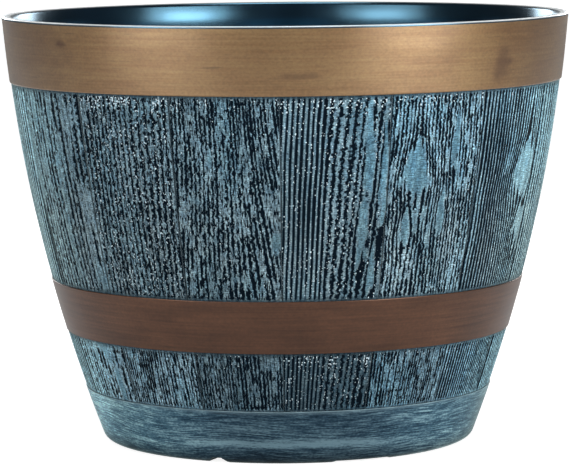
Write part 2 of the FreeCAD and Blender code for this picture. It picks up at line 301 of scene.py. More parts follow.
def stave_relief(heights, bottom, top, kinds, tones_and_light, closing):
    """Inward depth and grain attributes of a zone of staves between two heights, a row for each height."""
    rows = len(heights)
    depth = np.zeros((rows, FINE_COLUMNS))
    fields = {name: np.zeros((rows, FINE_COLUMNS)) for name in ("grain_rings", "grain_width", "grain_seam")}
    for name in ("grain_place", "grain_kind", "grain_tone"):
        fields[name] = np.zeros((rows, FINE_COLUMNS, 3))
    share = np.arange(FINE_PER_STAVE) / FINE_PER_STAVE
    x, y = np.meshgrid((share - 0.5) * STAVE_WIDTH / MM, heights / MM)
    from_seam = np.minimum(share, 1.0 - share) * STAVE_WIDTH
    seam = np.tile(step(SEAM_HALF_WIDTH, 0.2 * SEAM_HALF_WIDTH, from_seam), (rows, 1))
    from_end = np.minimum(closing * (heights - bottom), top - heights)[:, None] + 0.0 * x
    levels = np.random.default_rng(GRAIN_SEED).random(STAVE_COUNT)
    for index, kind in enumerate(kinds):
        stave = slice(index * FINE_PER_STAVE, (index + 1) * FINE_PER_STAVE)
        own = GRAIN_SEED + 100 * (index + 1)
        rings, width, bare, ragged = grain_field(x, y, kind, own)
        worn_side = step(2.0 * MM, 1.2 * MM, (1.0 - share) * STAVE_WIDTH)
        worn_side = worn_side * step(0.55, 0.75, noise(0.5 + 0.0 * x, y / 40.0, own + 24))
        width = width * (1.0 - worn_side) - 0.5 * worn_side
        open_grain = step(0.4 * MARGIN, MARGIN * (0.8 + 0.4 * noise(x / 3.0, y / 50.0, own + 20)), from_end)
        width = width * open_grain - 0.5 * (1.0 - open_grain)
        groove = step(width + 0.25, width - 0.25, 2.0 * np.abs(rings - np.floor(rings + 0.5)))
        hew = noise(x / 22.0, y / 60.0, own + 21)
        carved = GRAIN_DEPTH * groove + HEW_DEPTH * hew + STAVE_STEP * levels[index]
        depth[:, stave] = carved * (1.0 - seam) + SEAM_DEPTH * seam
        # Each stave's tone with its painted light and shade, varied at random
        level = tones_and_light[index] * (0.8 + 0.4 * noise(x / 11.0, y / 34.0, own + 22))
        # Painted shade: darker within a few millimetres of each end of the zone, beside the hoops and the
        # base ring
        level = level * (0.32 + 0.68 * step(0.5 * MM, 4.5 * MM, from_end))
        level = level * (1.0 + (kind.patch - 1.0) * bare + 0.15 * worn_side)
        smooth = np.maximum(bare, 0.5 * step(0.45, 0.7, noise(x / 16.0, y / 40.0, own + 23)))
        paint = PAINT + (PAINT_SMOOTH - PAINT) * smooth[..., None]
        azimuth = SEAM_AZIMUTH + FULL_TURN * (index + share) / STAVE_COUNT
        # Painted side light: paler paint towards the left and right of the front
        side_light_share = step(SIDE_START, SIDE_END, np.abs(np.sin(azimuth)))[:, None]
        paint = (paint + (SIDE_LIGHT_COLOUR - paint) * side_light_share) * level[..., None]
        # Bluer near the rim and below the lower hoop, and more so on the right
        cool = np.maximum(step(150.0, 215.0, y), step(110.0, 90.0, y))
        cool = cool * (0.7 + 0.5 * step(0.0, 0.4, np.sin(azimuth)))
        paint = paint * (1.0 + cool[..., None] * COOL_TINT)
        # Smooth strip at the ends of the zone, in slate darkened as painted shade
        paint = paint + (SHADED_MARGIN_SLATE - paint) * (0.8 * (1.0 - open_grain))[..., None]
        quiet = open_grain * (1.0 - 0.7 * bare)
        # Painted glints, thicker just under the top of the zone
        glint_share = kind.sparkle + 0.55 * step(14.0 * MM, 4.0 * MM, top - heights)[:, None]
        fields["grain_rings"][:, stave] = rings
        fields["grain_width"][:, stave] = width
        fields["grain_seam"][:, stave] = seam * step(0.0, MARGIN, from_end)
        fields["grain_place"][:, stave] = np.stack([x + 200.0 * index, y, 0.0 * x], axis=-1)
        fields["grain_kind"][:, stave] = np.stack([ragged, kind.pores * quiet, glint_share * quiet], axis=-1)
        fields["grain_tone"][:, stave] = paint
    return depth, fields


def bvh(node):
    """A tree to measure a CAD node with."""
    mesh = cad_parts[node].data
    points = [vertex.co.copy() for vertex in mesh.vertices]
    return BVHTree.FromPolygons(points, [tuple(polygon.vertices) for polygon in mesh.polygons])


def outer_radius(tree, height):
    """Outside radius at the back of a round node."""
    return tree.ray_cast(Vector((1e-5, 1.0, height)), Vector((0.0, -1.0, 0.0)))[0].y


def inner_radius(tree, height):
    """Inside radius at the back of a round node."""
    return tree.ray_cast(Vector((1e-5, 0.0, height)), Vector((0.0, 1.0, 0.0)))[0].y


def circle_through(a, b, c):
    """Centre and radius of the circle through three points of a section."""
    matrix = np.array([[b[0] - a[0], b[1] - a[1]], [c[0] - b[0], c[1] - b[1]]])
    right = 0.5 * np.array([b[0]**2 - a[0]**2 + b[1]**2 - a[1]**2, c[0]**2 - b[0]**2 + c[1]**2 - b[1]**2])
    centre = np.linalg.solve(matrix, right)
    return centre[0], centre[1], math.hypot(a[0] - centre[0], a[1] - centre[1])


def azimuths(columns):
    return SEAM_AZIMUTH + FULL_TURN * np.arange(columns) / columns


def turned(radii, heights, columns):
    """Points of a band of rings: radii and heights are a value a row, or an array with a value a column."""
    angle = azimuths(columns)[None, :]
    radius = np.broadcast_to(np.reshape(radii, (len(radii), -1)), (len(radii), columns))
    height = np.broadcast_to(np.reshape(heights, (len(heights), -1)), (len(heights), columns))
    return np.stack([radius * np.sin(angle), -radius * np.cos(angle), height], axis=-1)


def band_faces(start, rows, columns, closed=False):
    """Quads of a band of rings, and where each corner is across and up the band, from 0 to 1."""
    row, column = np.meshgrid(np.arange(rows if closed else rows - 1), np.arange(columns), indexing="ij")
    row = row.ravel()
    column = column.ravel()
    rows_up = np.stack([row, row, row + 1, row + 1], axis=1)
    columns_on = np.stack([column, column + 1, column + 1, column], axis=1)
    faces = start + (rows_up % rows) * columns + columns_on % columns
    span = rows if closed else rows - 1
    return faces, columns_on / columns, rows_up / span


def join_faces(start_a, columns_a, start_b, columns_b):
    """Faces between two neighbouring rings, of which one may have COARSE_STEP times as many points."""
    few = min(columns_a, columns_b)
    step_a = columns_a // few
    step_b = columns_b // few
    cell = np.arange(few)[:, None]
    along_a = cell * step_a + np.arange(step_a + 1)[None, :]
    along_b = cell * step_b + np.arange(step_b, -1, -1)[None, :]
    faces = np.hstack([start_a + along_a % columns_a, start_b + along_b % columns_b])
    across = np.hstack([along_a / columns_a, along_b / columns_b])
    up = np.hstack([0.0 * along_a, 0.0 * along_b + 1.0])
    return faces, across, up


class MeshMaker:
    """Collects points, faces, map places and materials of one mesh."""

    def __init__(self):
        self.points = []
        self.count = 0
        self.groups = []

    def add_points(self, points):
        start = self.count
        flat = points.reshape(-1, 3)
        self.points.append(flat)
        self.count += len(flat)
        return start

    def add_faces(self, faces, map_u, map_v, material):
        self.groups.append((faces, np.stack([map_u, map_v], axis=-1), material))

    def build(self, name, materials, sharp_angle):
        mesh = bpy.data.meshes.new(name)
        corners = np.concatenate([faces.ravel() for faces, _, _ in self.groups])
        sizes = np.concatenate([np.full(len(faces), faces.shape[1]) for faces, _, _ in self.groups])
        indices = np.concatenate([np.full(len(faces), material) for faces, _, material in self.groups])
        places = np.concatenate([place.reshape(-1, 2) for _, place, _ in self.groups])
        mesh.vertices.add(self.count)
        mesh.vertices.foreach_set("co", np.concatenate(self.points).astype(np.float32).ravel())
        mesh.loops.add(len(corners))
        mesh.loops.foreach_set("vertex_index", corners.astype(np.int32))
        mesh.polygons.add(len(sizes))
        starts = np.concatenate([[0], np.cumsum(sizes)[:-1]])
        mesh.polygons.foreach_set("loop_start", starts.astype(np.int32))
        mesh.polygons.foreach_set("material_index", indices.astype(np.int32))
        mesh.polygons.foreach_set("use_smooth", np.ones(len(sizes), dtype=bool))
        layer = mesh.uv_layers.new(name="OFBake")
        layer.uv.foreach_set("vector", places.astype(np.float32).ravel())
        mesh.update(calc_edges=True)
        mesh.validate()
        mesh.set_sharp_from_angle(angle=sharp_angle)
        for material in materials:
            mesh.materials.append(material)
        piece = bpy.data.objects.new(name, mesh)
        bpy.context.scene.collection.objects.link(piece)
        return piece


def strip(low, high, across, up, reach=0.996):
    """Map places of a band in one strip of the map, all the way across unless its reach is less."""
    return 0.004 + (reach - 0.004) * across, low + (high - low) * up


def stave_strips(low, high, across, up):
    """Map places of a zone of staves, cut into three strips."""
    strips = 3
    strip_index = np.minimum(np.floor(across.mean(axis=1, keepdims=True) * strips), strips - 1)
    height = (high - low) / strips
    return 0.004 + 0.992 * (across * strips - strip_index), low + height * (strip_index + 0.02 + 0.96 * up)


# Materials


def new_material(name):
    material = bpy.data.materials.new(name)
    material.use_nodes = True
    nodes = material.node_tree.nodes
    nodes.clear()
    output = nodes.new("ShaderNodeOutputMaterial")
    shader = nodes.new("ShaderNodeBsdfPrincipled")
    material.node_tree.links.new(shader.outputs["BSDF"], output.inputs["Surface"])
    return material, shader


def set_inputs(node, **inputs):
    """Constants on a node's own sockets."""
    for key, value in inputs.items():
        node.inputs[key.replace("_", " ")].default_value = value


def add_node(material, kind, **inputs):
    node = material.node_tree.nodes.new(kind)
    set_inputs(node, **inputs)
    return node


def link(material, output, target):
    material.node_tree.links.new(output, target)


def streaks(material, scale_across, scale_up, detail):
    """Noise in the object's own frame, stretched by different scales across and up the planter."""
    coordinates = add_node(material, "ShaderNodeTexCoord")
    mapping = add_node(material, "ShaderNodeMapping", Scale=(scale_across, scale_across, scale_up))
    texture = add_node(material, "ShaderNodeTexNoise", Scale=1.0, Detail=detail)
    link(material, coordinates.outputs["Object"], mapping.inputs["Vector"])
    link(material, mapping.outputs["Vector"], texture.inputs["Vector"])
    return texture.outputs["Fac"]


def ramp(material, source, stops):
    """Colour ramp through (place, linear colour) stops."""
    node = add_node(material, "ShaderNodeValToRGB")
    elements = node.color_ramp.elements
    while len(elements) < len(stops):
        elements.new(0.5)
    for element, (place, colour) in zip(elements, stops):
        element.position = place
        element.color = (*colour, 1.0)
    link(material, source, node.inputs["Fac"])
    return node.outputs["Color"]


def spread(material, source, low, high, start=0.25, end=0.75):
    """A noise value mapped to a range."""
    node = add_node(material, "ShaderNodeMapRange", From_Min=start, From_Max=end, To_Min=low, To_Max=high)
    link(material, source, node.inputs["Value"])
    return node.outputs["Result"]


def multiply(material, colour, factor):
    """A colour times a value or another colour."""
    node = add_node(material, "ShaderNodeVectorMath")
    node.operation = "MULTIPLY"
    link(material, colour, node.inputs[0])
    link(material, factor, node.inputs[1])
    return node.outputs["Vector"]


def bump(material, shader, source, distance, strength):
    node = add_node(material, "ShaderNodeBump", Strength=strength, Distance=distance)
    link(material, source, node.inputs["Height"])
    link(material, node.outputs["Normal"], shader.inputs["Normal"])


def attribute(material, name, output="Fac"):
    node = add_node(material, "ShaderNodeAttribute")
    node.attribute_name = name
    return node.outputs[output]


def calculate(material, operation, *values):
    """One step of arithmetic on numbers and node outputs."""
    node = add_node(material, "ShaderNodeMath")
    node.operation = operation
    for socket, value in zip(node.inputs, values):
        if isinstance(value, (int, float)):
            socket.default_value = value
        else:
            link(material, value, socket)
    return node.outputs["Value"]


def centred(material, source):
    """A noise value about zero."""
    return calculate(material, "SUBTRACT", source, 0.5)


def blended(material, factor, first, second):
    """Colour from the first to the second, each a linear colour or a node output."""
    node = add_node(material, "ShaderNodeMix")
    node.data_type = "RGBA"
    link(material, factor, node.inputs["Factor"])
    for socket, colour in ((node.inputs["A"], first), (node.inputs["B"], second)):
        if isinstance(colour, np.ndarray):
            socket.default_value = (*colour, 1.0)
        else:
            link(material, colour, socket)
    return node.outputs["Result"]


def grain_noise(material, place, across, up, detail):
    """Noise over the staves with cells of so many millimetres across and up the grain."""
    scaled = add_node(material, "ShaderNodeVectorMath")
    scaled.operation = "MULTIPLY"
    scaled.inputs[1].default_value = (1.0 / across, 1.0 / up, 1.0)
    texture = add_node(material, "ShaderNodeTexNoise", Scale=1.0, Detail=detail)
    texture.noise_dimensions = "2D"
    link(material, place, scaled.inputs[0])
    link(material, scaled.outputs["Vector"], texture.inputs["Vector"])
    return texture.outputs["Fac"]


def stave_material():
    """Black grain lines, pores and seams in blue-grey paint brushed over the ridges, with painted glints:
    bright flecks that stand in for highlights.
    """
    material, shader = new_material("stave_grain")
    place = attribute(material, "grain_place", "Vector")
    kind = add_node(material, "ShaderNodeSeparateColor")
    link(material, attribute(material, "grain_kind", "Color"), kind.inputs["Color"])
    ragged, pores, sparkle = kind.outputs[:3]

    def around_zero(across, up, detail):
        return centred(material, grain_noise(material, place, across, up, detail))

    jag = calculate(material, "MULTIPLY", ragged, around_zero(4.5, 2.4, 2.0))
    rings = calculate(material, "MULTIPLY_ADD", jag, 1.1, attribute(material, "grain_rings"))
    from_middle = calculate(material, "MULTIPLY", calculate(material, "PINGPONG", rings, 0.5), 2.0)
    edge = calculate(material, "MULTIPLY_ADD", around_zero(1.1, 3.2, 2.0), 1.4, around_zero(2.4, 10.0, 1.0))
    width = calculate(material, "MULTIPLY_ADD", ragged, edge, attribute(material, "grain_width"))
    inside_line = calculate(material, "SUBTRACT", width, from_middle)
    line = spread(material, inside_line, 0.0, 1.0, -0.08, 0.08)
    pore_level = calculate(material, "MULTIPLY_ADD", pores, 0.3, grain_noise(material, place, 1.0, 4.2, 2.0))
    pore = spread(material, pore_level, 0.0, 1.0, 0.85, 0.88)
    dark = calculate(material, "MAXIMUM", line, pore)
    dark = calculate(material, "MAXIMUM", dark, attribute(material, "grain_seam"))

    brushed = grain_noise(material, place, 0.7, 5.0, 3.0)
    grit = grain_noise(material, place, 1.3, 0.8, 1.0)
    crossed = grain_noise(material, place, 4.2, 0.9, 1.0)
    mottled = grain_noise(material, place, 4.0, 8.0, 4.0)
    mottle_stops = [(0.3, np.array([0.68, 0.78, 0.86])), (0.7, np.array([1.22, 1.21, 1.19]))]
    tone = attribute(material, "grain_tone", "Color")
    paint = multiply(material, tone, ramp(material, mottled, mottle_stops))
    paint = multiply(material, paint, spread(material, brushed, 0.64, 1.36))
    paint = multiply(material, paint, spread(material, grit, 0.55, 1.45))
    paint = multiply(material, paint, spread(material, crossed, 0.6, 1.4))
    paint = multiply(material, paint, spread(material, from_middle, 0.85, 1.25, 0.3, 1.0))
    # Painted glints: bright flecks in clusters beside the grain lines, standing in for highlights
    near_edge = spread(material, calculate(material, "ABSOLUTE", inside_line), 0.14, 0.0, 0.0, 0.4)
    glint_level = calculate(material, "ADD", near_edge, grain_noise(material, place, 1.25, 1.4, 0.0))
    clusters = spread(material, grain_noise(material, place, 7.0, 11.0, 1.0), 0.5, 1.4)
    clustered = calculate(material, "MULTIPLY", sparkle, clusters)
    glint_level = calculate(material, "MULTIPLY_ADD", clustered, 0.2, glint_level)
    glint_mask = spread(material, glint_level, 0.0, 1.0, 1.08, 1.13)
    paint = blended(material, spread(material, inside_line, 0.0, 0.75, -0.3, -0.04), paint, THIN_PAINT)
    colour = blended(material, glint_mask, blended(material, dark, paint, GROOVE), PAINTED_GLINT)
    link(material, colour, shader.inputs["Base Color"])
    link(material, spread(material, dark, 0.46, 0.7, 0.0, 1.0), shader.inputs["Roughness"])
    set_inputs(shader, Specular_IOR_Level=0.06)
    set_inputs(shader, Sheen_Weight=0.6, Sheen_Roughness=0.3, Sheen_Tint=SHEEN_TINT)
    relief = calculate(material, "SUBTRACT", calculate(material, "MULTIPLY", brushed, 0.4), dark)
    bump(material, shader, relief, 0.35 * MM, 0.7)
    return material


def brush_strokes(material, length, width, sway):
    """Noise in strokes round the planter, of so many metres along and across, which sway up and down."""
    coordinates = add_node(material, "ShaderNodeTexCoord")
    apart = add_node(material, "ShaderNodeSeparateXYZ")
    together = add_node(material, "ShaderNodeCombineXYZ")
    texture = add_node(material, "ShaderNodeTexNoise", Scale=1.0, Detail=3.0)
    link(material, coordinates.outputs["Object"], apart.inputs[0])
    drift = centred(material, streaks(material, 9.0, 15.0, 1.0))
    height = calculate(material, "MULTIPLY_ADD", drift, sway, apart.outputs["Z"])
    link(material, calculate(material, "DIVIDE", apart.outputs["X"], length), together.inputs["X"])
    link(material, calculate(material, "DIVIDE", apart.outputs["Y"], length), together.inputs["Y"])
    link(material, calculate(material, "DIVIDE", height, width), together.inputs["Z"])
    link(material, together.outputs["Vector"], texture.inputs["Vector"])
    return texture.outputs["Fac"], apart.outputs["Z"]


def base_material():
    """Slate resin dry-brushed in fine strokes round the base ring, pale over its rests and, as worn paint and
    painted highlight, at its edge; lighter to the left and right as painted side light and darker near the
    ground as painted shade.
    """
    material, shader = new_material("base_ring")
    strokes, height = brush_strokes(material, 14.0 * MM, 0.56 * MM, 18.0 * MM)
    patches = streaks(material, 11.0, 80.0, 3.0)
    grit = streaks(material, 500.0, 1000.0, 1.0)
    low_band = calculate(material, "ABSOLUTE", calculate(material, "SUBTRACT", height, 14.5 * MM))
    low_band = spread(material, low_band, 0.8, 0.0, 0.0, 4.0 * MM)
    low_band = calculate(material, "MULTIPLY", low_band, attribute(material, "rest_wear"))
    level = calculate(material, "MULTIPLY_ADD", centred(material, patches), 0.42, strokes)
    level = calculate(material, "MULTIPLY_ADD", centred(material, grit), 0.35, level)
    level = calculate(material, "MULTIPLY_ADD", low_band, 0.4, level)
    stops = [(0.3, srgb(15, 40, 58)), (0.5, srgb(51, 80, 99)), (0.78, srgb(126, 160, 174))]
    shadow = spread(material, height, 0.5, 1.0, 4.0 * MM, 12.0 * MM)
    colour = multiply(material, ramp(material, level, stops), shadow)
    # Painted side light, lighter towards the left and right
    colour = multiply(material, colour, attribute(material, "painted_side_light", "Color"))
    rubbed = spread(material, strokes, 0.3, 1.0)
    # Pale upper edge: partly worn paint, partly a painted highlight on the ledge
    wear_and_highlight = calculate(material, "MULTIPLY", attribute(material, "edge_wear_and_highlight"), rubbed)
    link(material, blended(material, wear_and_highlight, colour, srgb(172, 203, 214)), shader.inputs["Base Color"])
    link(material, spread(material, strokes, 0.55, 0.42), shader.inputs["Roughness"])
    set_inputs(shader, Specular_IOR_Level=0.12)
    set_inputs(shader, Sheen_Weight=1.0, Sheen_Roughness=0.3, Sheen_Tint=SHEEN_TINT)
    bump(material, shader, level, 0.12 * MM, 0.4)
    return material


def inside_material():
    """Glossy blue-black resin of the inside and the floor, with a pale lip, partly worn paint and partly a
    painted highlight.
    """
    material, shader = new_material("inside_gloss")
    flow = streaks(material, 26.0, 12.0, 4.0)
    stops = [(0.3, srgb(0, 6, 16)), (0.7, srgb(3, 13, 28))]
    # Pale lip: partly worn paint, partly a painted highlight
    wear_and_highlight = calculate(material, "MULTIPLY", attribute(material, "edge_wear_and_highlight"), spread(material, flow, 0.8, 1.0))
    colour = blended(material, wear_and_highlight, ramp(material, flow, stops), WORN_EDGE_AND_HIGHLIGHT)
    link(material, colour, shader.inputs["Base Color"])
    link(material, spread(material, flow, 0.18, 0.24), shader.inputs["Roughness"])
    set_inputs(shader, IOR=1.8, Specular_IOR_Level=0.95, Specular_Tint=(0.32, 0.72, 1.0, 1.0))
    bump(material, shader, streaks(material, 60.0, 40.0, 2.0), 0.3 * MM, 0.12)
    return material


def copper_material(name, dark, pale, coat):
    """Satin copper coat with faint brushing round the hoop, a cloudy tone, fine grain, scuffs, smudges and
    broad patches of painted shade.
    """
    material, shader = new_material(name)
    brushed = streaks(material, 16.0, 700.0, 5.0)
    clouds = streaks(material, 22.0, 50.0, 4.0)
    grain = streaks(material, 500.0, 700.0, 2.0)
    softened = spread(material, clouds, 0.35, 0.65)
    cloudy = calculate(material, "MULTIPLY_ADD", centred(material, brushed), 0.6, softened)
    scuffs = spread(material, streaks(material, 34.0, 520.0, 2.0), 1.0, 0.7, 0.68, 0.76)
    shade = calculate(material, "MULTIPLY", spread(material, grain, 0.84, 1.16), scuffs)
    colour = ramp(material, cloudy, [(0.3, dark), (0.7, pale)])
    # Smudges and painted shade: darker, redder copper
    colour = blended(material, attribute(material, "smudge_and_shade"), colour, dark * TARNISH_AND_SHADE_TINT)
    link(material, multiply(material, colour, shade), shader.inputs["Base Color"])
    link(material, spread(material, clouds, 0.32, 0.4), shader.inputs["Roughness"])
    set_inputs(shader, Metallic=0.65, Coat_Weight=coat, Coat_IOR=1.7, Coat_Roughness=0.26)
    bump(material, shader, brushed, 0.04 * MM, 0.25)
    return material


def rubber_material():
    """Matte black rubber with a fine moulded grain."""
    material, shader = new_material("plug_rubber")
    grain = streaks(material, 900.0, 900.0, 3.0)
    stops = [(0.3, srgb(22, 22, 24)), (0.7, srgb(40, 40, 43))]
    link(material, ramp(material, grain, stops), shader.inputs["Base Color"])
    link(material, spread(material, grain, 0.62, 0.8), shader.inputs["Roughness"])
    bump(material, shader, grain, 0.1 * MM, 0.4)
    return material


# Shell


def lifted_foot(points):
    """Ground points lifted where the foot has a notch or a shallow relief."""
    radius = np.hypot(points[..., 0], points[..., 1])
    azimuth = np.arctan2(points[..., 0], -points[..., 1])
    lift = np.zeros(radius.shape)
    for place in NOTCH_AZIMUTHS:
        away = np.abs(np.sin(azimuth - place)) * radius
        here = np.cos(azimuth - place) > 0
        side = np.clip((NOTCH_GROUND_HALF - away) / (NOTCH_GROUND_HALF - NOTCH_TOP_HALF), 0.0, 1.0)
        lift = np.maximum(lift, here * NOTCH_DEPTH * side)
    for place in RELIEF_AZIMUTHS:
        away = np.abs((azimuth - place + math.pi) % FULL_TURN - math.pi)
        lift = np.maximum(lift, RELIEF_DEPTH * step(RELIEF_HALF_ANGLE, 0.94 * RELIEF_HALF_ANGLE, away))
    return np.maximum(points[..., 2], lift)


def perforated_disc(maker, ring_start, ring, holes, height, facing_up, places):
    """Flat disc inside a ring of the mesh, with round holes; gives the first point of each hole."""
    angle = FULL_TURN * np.arange(HOLE_POINTS) / HOLE_POINTS
    starts = []
    loops = [[Vector((x, y, 0.0)) for x, y in ring]]
    for centre, radius in holes:
        x = centre[0] + radius * np.cos(angle)
        y = centre[1] + radius * np.sin(angle)
        starts.append(maker.add_points(np.stack([x, y, 0.0 * x + height], axis=-1)))
        loops.append([Vector((a, b, 0.0)) for a, b in zip(x, y)])
    triangles = np.array(tessellate_polygon(loops))
    flat = np.array([(p.x, p.y) for loop in loops for p in loop])
    owner = np.concatenate([ring_start + np.arange(len(ring))] + [s + np.arange(HOLE_POINTS) for s in starts])
    corner = flat[triangles]
    first = corner[:, 1] - corner[:, 0]
    second = corner[:, 2] - corner[:, 0]
    turn = first[:, 0] * second[:, 1] - first[:, 1] * second[:, 0]
    wrong = (turn < 0) == facing_up
    triangles[wrong] = triangles[wrong][:, ::-1]
    map_u, map_v, size = places
    reach = np.abs(flat).max()
    spot = size * 0.5 * (1.0 + flat[triangles] / reach)
    maker.add_faces(owner[triangles], map_u + spot[..., 0], map_v + spot[..., 1], INSIDE_FACES)
    return starts


def stave_zone(maker, arc, bottom, top, kinds, tones_and_light, closing, map_low, map_high):
    """Dense band of grained staves; gives its first and last ring and its grain attributes."""
    rows = int(round((top - bottom) / GRAIN_ROW)) + 1
    heights = np.linspace(bottom, top, rows)
    depth, fields = stave_relief(heights, bottom, top, kinds, tones_and_light, closing)
    centre_r, centre_z, radius = arc
    radii = centre_r + np.sqrt((radius - depth) ** 2 - (heights[:, None] - centre_z) ** 2)
    start = maker.add_points(turned(radii, heights, FINE_COLUMNS))
    faces, across, up = band_faces(start, rows, FINE_COLUMNS)
    maker.add_faces(faces, *stave_strips(map_low, map_high, across, up), STAVE_FACES)
    return start, start + (rows - 1) * FINE_COLUMNS, fields


def plain_band(maker, radii, heights, material, map_low, map_high, reach=0.996):
    """Smooth band of rings; gives its first and last ring."""
    points = turned(np.array(radii), np.array(heights), COARSE_COLUMNS)
    points[..., 2] = lifted_foot(points)
    start = maker.add_points(points)
    faces, across, up = band_faces(start, len(radii), COARSE_COLUMNS)
    maker.add_faces(faces, *strip(map_low, map_high, across, up, reach), material)
    return start, start + (len(radii) - 1) * COARSE_COLUMNS


def store(mesh, name, values):
    """A value, or a vector or colour, for each point of a mesh."""
    if values.ndim == 1:
        layer = mesh.attributes.new(name, "FLOAT", "POINT")
        layer.data.foreach_set("value", values.astype(np.float32))
    elif name == "grain_place":
        layer = mesh.attributes.new(name, "FLOAT_VECTOR", "POINT")
        layer.data.foreach_set("vector", values.astype(np.float32).ravel())
    else:
        layer = mesh.attributes.new(name, "FLOAT_COLOR", "POINT")
        opaque = np.concatenate([values, np.ones((len(values), 1))], axis=1)
        layer.data.foreach_set("color", opaque.astype(np.float32).ravel())


def join(maker, ring_a, columns_a, ring_b, columns_b, map_low, map_high):
    """Narrow band of the staves' material between two rings."""
    faces, across, up = join_faces(ring_a, columns_a, ring_b, columns_b)
    maker.add_faces(faces, *strip(map_low, map_high, across, up), STAVE_FACES)


def build_shell():
    """The moulded shell as one closed mesh, measured from its CAD node, with grain cut into its staves."""
    tree = bvh("barrel_shell")
    maker = MeshMaker()
    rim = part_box("barrel_shell")[1].z
    lower_hoop = [corner.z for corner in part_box("lower_hoop")]
    upper_hoop = [corner.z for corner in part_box("upper_hoop")]
    hair = 0.05 * MM

    arc_heights = [BASE_RING_TOP + MARGIN, 0.5 * (lower_hoop[1] + upper_hoop[0]), upper_hoop[0] - MARGIN]
    arc = circle_through(*[(outer_radius(tree, z), z) for z in arc_heights])

    underside = tree.ray_cast(Vector((0.03, 0.0, -0.1)), Vector((0.0, 0.0, 1.0)))[0].z
    floor = tree.ray_cast(Vector((0.03, 0.0, 0.1)), Vector((0.0, 0.0, -1.0)))[0].z
    foot_inner = inner_radius(tree, 0.5 * underside)
    corner_heights = MM * np.array([0.05, 0.25, 0.6, 1.1, 1.8, 2.7, 3.8, 5.2, 7.0, 9.0])
    ring_heights = np.linspace(11.0 * MM, BASE_RING_TOP - 0.5 * MM, 13)
    side_heights = np.concatenate([corner_heights, ring_heights])
    side_radii = [outer_radius(tree, z) for z in side_heights]
    ground_radii = np.linspace(foot_inner, side_radii[0], 5)
    edge_radius = outer_radius(tree, BASE_RING_TOP - hair)
    foot_radii = [foot_inner, *ground_radii, *side_radii, edge_radius - 0.03 * MM, edge_radius - 0.3 * MM]
    foot_heights = [underside, *(0.0 * ground_radii), *side_heights, BASE_RING_TOP - 0.15 * MM, BASE_RING_TOP]
    foot = plain_band(maker, foot_radii, foot_heights, BASE_FACES, *MAP_FOOT)

    lower_tone_and_light = [tone * shade for tone, shade in zip(STAVE_TONE_AND_LIGHT, LOWER_TONE_LIGHT_AND_SHADE)]
    low = stave_zone(
        maker, arc, BASE_RING_TOP, lower_hoop[0], LOWER_GRAIN, lower_tone_and_light, LOWER_CLOSING, *MAP_LOWER_STAVES
    )
    join(maker, foot[1], COARSE_COLUMNS, low[0], FINE_COLUMNS, *MAP_FOOT_JOIN)

    seat_heights = np.linspace(lower_hoop[0] + hair, lower_hoop[1] - hair, 5)
    seat_radii = [outer_radius(tree, z) for z in seat_heights]
    seat = plain_band(maker, seat_radii, seat_heights, BASE_FACES, *MAP_SEAT)
    join(maker, low[1], FINE_COLUMNS, seat[0], COARSE_COLUMNS, *MAP_LOWER_JOIN)

    high = stave_zone(
        maker, arc, lower_hoop[1], upper_hoop[0], STAVE_GRAIN, STAVE_TONE_AND_LIGHT, UPPER_CLOSING, *MAP_UPPER_STAVES
    )
    join(maker, seat[1], COARSE_COLUMNS, high[0], FINE_COLUMNS, *MAP_UPPER_JOIN)

    wall_heights = np.linspace(upper_hoop[0] + hair, upper_hoop[1] - hair, 5)
    lip_heights = rim - MM * np.array([1.45, 0.75, 0.5, 0.3, 0.15, 0.06, 0.015])
    inner_lip_heights = rim - MM * np.array([0.015, 0.1, 0.3, 0.65, 1.1, 1.7, 2.4])
    swell_heights = np.linspace(rim - 3.0 * MM, rim - SWELL_START - SWELL_LENGTH, 14)
    wall_down = np.linspace(swell_heights[-1] - 14.0 * MM, floor + 20.0 * MM, 14)
    inside_heights = np.concatenate([swell_heights, wall_down])
    round_heights = floor + MM * np.array([14.0, 10.5, 7.8, 5.6, 3.8, 2.4, 1.4, 0.7, 0.25, 0.05])
    down_heights = np.concatenate([inner_lip_heights, inside_heights, round_heights])
    top_radii = [outer_radius(tree, z) - SKIN for z in np.concatenate([wall_heights, lip_heights])]
    swell_share = np.clip((rim - SWELL_START - down_heights) / SWELL_LENGTH, 0.0, 1.0)
    swell = SWELL_HEIGHT * np.sin(math.pi * swell_share) ** 2
    down_radii = np.array([inner_radius(tree, z) for z in down_heights]) - swell
    flat_radii = down_radii[-1] - MM * np.array([2.0, 4.0])
    inside = plain_band(
        maker,
        [*top_radii, 0.5 * (top_radii[-1] + down_radii[0]), *down_radii, *flat_radii],
        [*wall_heights, *lip_heights, rim, *down_heights, floor, floor],
        INSIDE_FACES,
        *MAP_INSIDE,
        MAP_INSIDE_REACH,
    )
    join(maker, high[1], FINE_COLUMNS, inside[0], COARSE_COLUMNS, *MAP_RIM_JOIN)

    hole_radius = inner_radius(tree, 0.5 * (underside + floor))
    plugs = [name for name in sorted(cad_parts) if name.startswith("drain_plug")]
    centres = [0.5 * (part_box(name)[0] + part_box(name)[1]) for name in plugs]
    holes = [((centre.x, centre.y), hole_radius) for centre in centres]
    under_ring = turned([foot_inner], [underside], COARSE_COLUMNS)[0, :, :2]
    floor_ring = turned([flat_radii[-1]], [floor], COARSE_COLUMNS)[0, :, :2]
    below = perforated_disc(maker, foot[0], under_ring, holes, underside, False, MAP_UNDERSIDE)
    above = perforated_disc(maker, inside[1], floor_ring, holes, floor, True, MAP_FLOOR)
    for index, (start_below, start_above) in enumerate(zip(below, above)):
        faces, across, up = join_faces(start_above, HOLE_POINTS, start_below, HOLE_POINTS)
        map_u = MAP_HOLE_ACROSS + MAP_HOLE_WIDTH * across
        map_v = MAP_HOLE_UP + MAP_HOLE_PITCH * (index + 0.9 * up)
        maker.add_faces(faces, map_u, map_v, INSIDE_FACES)

